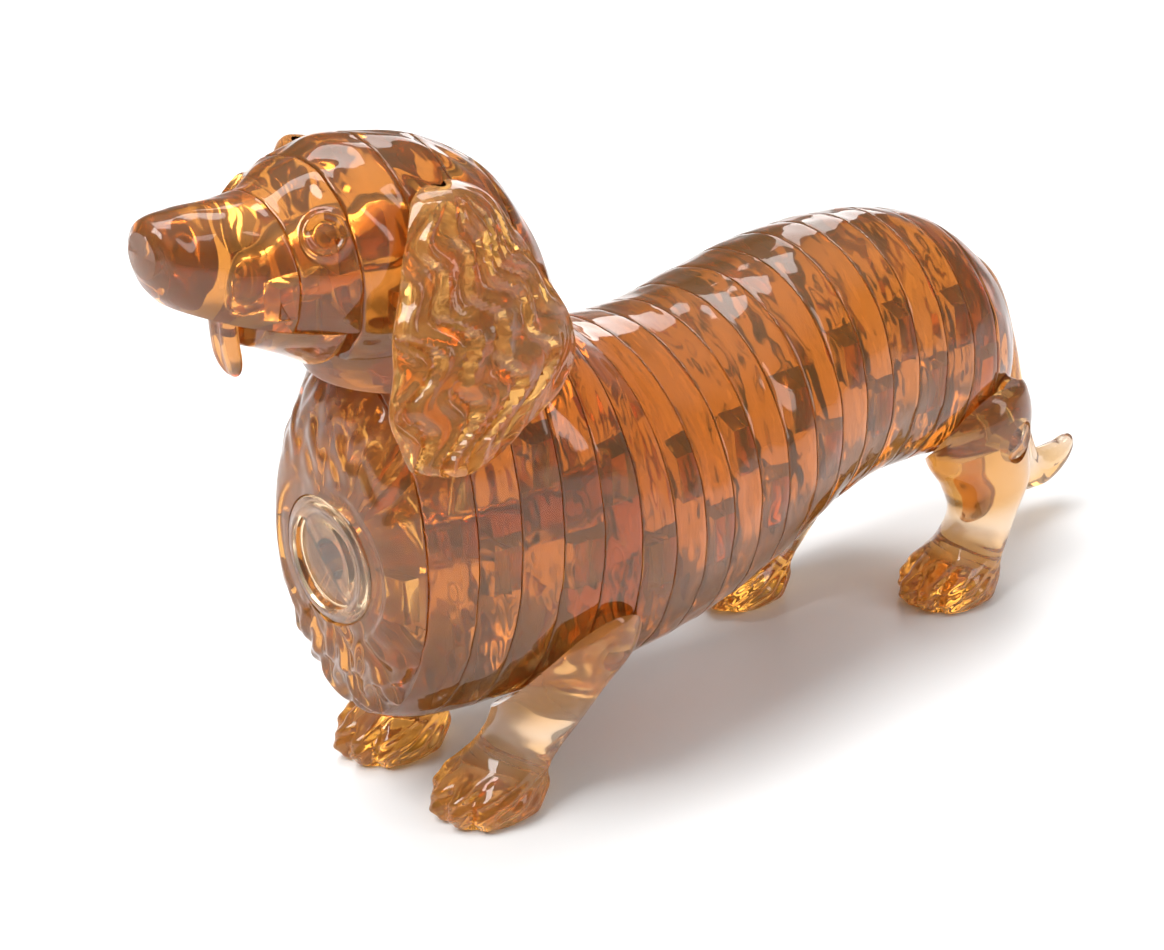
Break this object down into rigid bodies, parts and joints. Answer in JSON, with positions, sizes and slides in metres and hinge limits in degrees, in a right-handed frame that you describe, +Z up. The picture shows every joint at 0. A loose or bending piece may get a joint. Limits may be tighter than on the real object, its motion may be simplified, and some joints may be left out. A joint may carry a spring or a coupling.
{
  "type": "crystal stacking puzzle",
  "caption": "Translucent amber dachshund stacking puzzle: upright body and head plates on lugs, push-on legs, ears, tail, jaw and tongue, and lock pins.",
  "frame": {"origin": "on the ground, under the middle of the whole dog's bounding box", "axes": "+X from the nose to the tail, +Y to the dog's right side, +Z up"},
  "size_m": [0.1464, 0.042, 0.0815],
  "materials": {
    "body": "clear amber brown polystyrene, polished mould finish",
    "head": "clear amber brown polystyrene, polished mould finish",
    "ears": "clear amber polystyrene with hair relief",
    "legs": "clear pale amber polystyrene, polished mould finish",
    "tail": "clear pale amber polystyrene with hair relief",
    "tongue": "clear amber polystyrene",
    "pins": "clear pale amber polystyrene"
  },
  "bodies": {
    "body_plate_01": {"body_plate_01": "body"},
    "body_plate_02": {"body_plate_02": "body"},
    "body_plate_03": {"body_plate_03": "body"},
    "body_plate_04": {"body_plate_04": "body"},
    "body_plate_05": {"body_plate_05": "body"},
    "body_plate_06": {"body_plate_06": "body"},
    "body_plate_07": {"body_plate_07": "body"},
    "body_plate_08": {"body_plate_08": "body"},
    "body_plate_09": {"body_plate_09": "body"},
    "body_plate_10": {"body_plate_10": "body"},
    "body_plate_11": {"body_plate_11": "body"},
    "body_plate_12": {"body_plate_12": "body"},
    "body_plate_13": {"body_plate_13": "body"},
    "body_plate_14": {"body_plate_14": "body"},
    "body_plate_15": {"body_plate_15": "body"},
    "body_plate_16": {"body_plate_16": "body"},
    "body_plate_17": {"body_plate_17": "body"},
    "body_plate_18": {"body_plate_18": "body"},
    "chest_bib": {"chest_bib": "body"},
    "chest_lock_pin": {"chest_lock_pin": "pins"},
    "ear_left": {"ear_left": "ears"},
    "ear_right": {"ear_right": "ears"},
    "face_plate": {"face_plate": "head"},
    "front_leg_left": {"front_leg_left": "legs"},
    "front_leg_right": {"front_leg_right": "legs"},
    "head_lock_pin": {"head_lock_pin": "pins"},
    "hind_leg_left": {"hind_leg_left": "legs"},
    "hind_leg_right": {"hind_leg_right": "legs"},
    "hip_lock_pin": {"hip_lock_pin": "pins"},
    "lower_jaw": {"lower_jaw": "head"},
    "muzzle": {"muzzle": "head"},
    "neck_plate": {"neck_plate": "head"},
    "rump": {"rump": "body"},
    "skull_plate_1": {"skull_plate_1": "head"},
    "skull_plate_2": {"skull_plate_2": "head"},
    "skull_plate_3": {"skull_plate_3": "head"},
    "skull_plate_4": {"skull_plate_4": "head"},
    "tail": {"tail": "tail"},
    "tongue": {"tongue": "tongue"}
  },
  "joints": [
    {"name": "neck_plate_slide", "type": "slide", "parent": "body_plate_03", "child": "neck_plate", "axis": [0, 0, 1], "range_m": [0, 0.005]},
    {"name": "skull_plate_2_slide", "type": "slide", "parent": "neck_plate", "child": "skull_plate_2", "axis": [0, 0, 1], "range_m": [0, 0.005]},
    {"name": "skull_plate_1_slide", "type": "slide", "parent": "skull_plate_2", "child": "skull_plate_1", "axis": [-1, 0, 0], "range_m": [0, 0.003]},
    {"name": "face_plate_slide", "type": "slide", "parent": "skull_plate_1", "child": "face_plate", "axis": [-1, 0, 0], "range_m": [0, 0.003]},
    {"name": "muzzle_slide", "type": "slide", "parent": "face_plate", "child": "muzzle", "axis": [-1, 0, 0], "range_m": [0, 0.003]},
    {"name": "skull_plate_3_slide", "type": "slide", "parent": "skull_plate_2", "child": "skull_plate_3", "axis": [1, 0, 0], "range_m": [0, 0.003]},
    {"name": "skull_plate_4_slide", "type": "slide", "parent": "skull_plate_3", "child": "skull_plate_4", "axis": [1, 0, 0], "range_m": [0, 0.003]},
    {"name": "lower_jaw_slide", "type": "slide", "parent": "face_plate", "child": "lower_jaw", "axis": [0, 0, -1], "range_m": [0, 0.006]},
    {"name": "tongue_slide", "type": "slide", "parent": "lower_jaw", "child": "tongue", "axis": [-1, 0, 0], "range_m": [0, 0.005]},
    {"name": "ear_left_slide", "type": "slide", "parent": "skull_plate_2", "child": "ear_left", "axis": [0, -1, 0], "range_m": [0, 0.006]},
    {"name": "ear_right_slide", "type": "slide", "parent": "skull_plate_2", "child": "ear_right", "axis": [0, 1, 0], "range_m": [0, 0.006]},
    {"name": "front_leg_left_slide", "type": "slide", "parent": "body_plate_05", "child": "front_leg_left", "axis": [0, -1, 0], "range_m": [0, 0.006]},
    {"name": "front_leg_right_slide", "type": "slide", "parent": "body_plate_05", "child": "front_leg_right", "axis": [0, 1, 0], "range_m": [0, 0.006]},
    {"name": "hind_leg_left_slide", "type": "slide", "parent": "rump", "child": "hind_leg_left", "axis": [0, -1, 0], "range_m": [0, 0.006]},
    {"name": "hind_leg_right_slide", "type": "slide", "parent": "rump", "child": "hind_leg_right", "axis": [0, 1, 0], "range_m": [0, 0.006]},
    {"name": "tail_slide", "type": "slide", "parent": "rump", "child": "tail", "axis": [1, 0, 0], "range_m": [0, 0.008]},
    {"name": "chest_lock_pin_slide", "type": "slide", "parent": "chest_bib", "child": "chest_lock_pin", "axis": [-1, 0, 0], "range_m": [0, 0.03]},
    {"name": "head_lock_pin_slide", "type": "slide", "parent": "skull_plate_4", "child": "head_lock_pin", "axis": [1, 0, 0], "range_m": [0, 0.034]},
    {"name": "hip_lock_pin_slide", "type": "slide", "parent": "hind_leg_left", "child": "hip_lock_pin", "axis": [0, -1, 0], "range_m": [0, 0.034]},
    {"name": "body_plate_08_slide", "type": "slide", "parent": "body_plate_09", "child": "body_plate_08", "axis": [-1, 0, 0], "range_m": [0, 0.003]},
    {"name": "body_plate_07_slide", "type": "slide", "parent": "body_plate_08", "child": "body_plate_07", "axis": [-1, 0, 0], "range_m": [0, 0.003]},
    {"name": "body_plate_06_slide", "type": "slide", "parent": "body_plate_07", "child": "body_plate_06", "axis": [-1, 0, 0], "range_m": [0, 0.003]},
    {"name": "body_plate_05_slide", "type": "slide", "parent": "body_plate_06", "child": "body_plate_05", "axis": [-1, 0, 0], "range_m": [0, 0.003]},
    {"name": "body_plate_04_slide", "type": "slide", "parent": "body_plate_05", "child": "body_plate_04", "axis": [-1, 0, 0], "range_m": [0, 0.003]},
    {"name": "body_plate_03_slide", "type": "slide", "parent": "body_plate_04", "child": "body_plate_03", "axis": [-1, 0, 0], "range_m": [0, 0.003]},
    {"name": "body_plate_02_slide", "type": "slide", "parent": "body_plate_03", "child": "body_plate_02", "axis": [-1, 0, 0], "range_m": [0, 0.003]},
    {"name": "body_plate_01_slide", "type": "slide", "parent": "body_plate_02", "child": "body_plate_01", "axis": [-1, 0, 0], "range_m": [0, 0.003]},
    {"name": "chest_bib_slide", "type": "slide", "parent": "body_plate_01", "child": "chest_bib", "axis": [-1, 0, 0], "range_m": [0, 0.003]},
    {"name": "body_plate_10_slide", "type": "slide", "parent": "body_plate_09", "child": "body_plate_10", "axis": [1, 0, 0], "range_m": [0, 0.003]},
    {"name": "body_plate_11_slide", "type": "slide", "parent": "body_plate_10", "child": "body_plate_11", "axis": [1, 0, 0], "range_m": [0, 0.003]},
    {"name": "body_plate_12_slide", "type": "slide", "parent": "body_plate_11", "child": "body_plate_12", "axis": [1, 0, 0], "range_m": [0, 0.003]},
    {"name": "body_plate_13_slide", "type": "slide", "parent": "body_plate_12", "child": "body_plate_13", "axis": [1, 0, 0], "range_m": [0, 0.003]},
    {"name": "body_plate_14_slide", "type": "slide", "parent": "body_plate_13", "child": "body_plate_14", "axis": [1, 0, 0], "range_m": [0, 0.003]},
    {"name": "body_plate_15_slide", "type": "slide", "parent": "body_plate_14", "child": "body_plate_15", "axis": [1, 0, 0], "range_m": [0, 0.003]},
    {"name": "body_plate_16_slide", "type": "slide", "parent": "body_plate_15", "child": "body_plate_16", "axis": [1, 0, 0], "range_m": [0, 0.003]},
    {"name": "body_plate_17_slide", "type": "slide", "parent": "body_plate_16", "child": "body_plate_17", "axis": [1, 0, 0], "range_m": [0, 0.003]},
    {"name": "body_plate_18_slide", "type": "slide", "parent": "body_plate_17", "child": "body_plate_18", "axis": [1, 0, 0], "range_m": [0, 0.003]},
    {"name": "rump_slide", "type": "slide", "parent": "body_plate_18", "child": "rump", "axis": [1, 0, 0], "range_m": [0, 0.003]}
  ]
}
